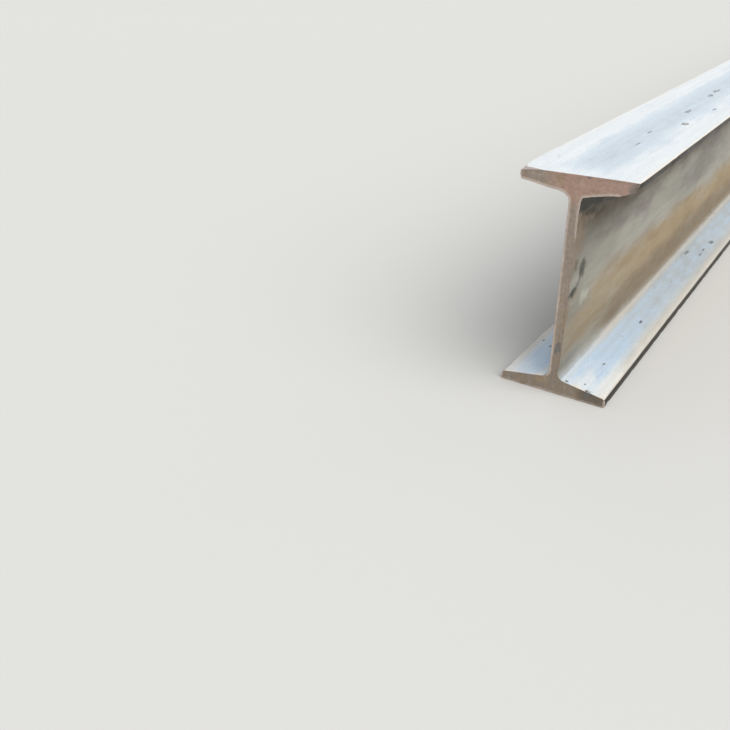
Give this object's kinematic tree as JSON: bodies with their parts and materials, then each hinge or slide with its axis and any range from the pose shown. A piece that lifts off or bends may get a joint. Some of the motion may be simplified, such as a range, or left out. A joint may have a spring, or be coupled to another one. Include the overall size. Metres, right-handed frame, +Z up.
{
  "type": "steel i-beam",
  "caption": "Straight length of hot-rolled structural steel I-section with tapered flanges and square-cut ends, used as a beam, joist or post.",
  "frame": {"origin": "middle of the bottom flange's lower face, halfway along the beam", "axes": "+Y along the beam's length, +X across the flanges, +Z up along the web from the bottom flange to the top flange; the end that the picture shows is at -Y"},
  "size_m": [0.1, 6, 0.2],
  "materials": {
    "rolled_steel": "satin"
  },
  "bodies": {
    "root": {"i_beam": "rolled_steel"}
  },
  "joints": []
}
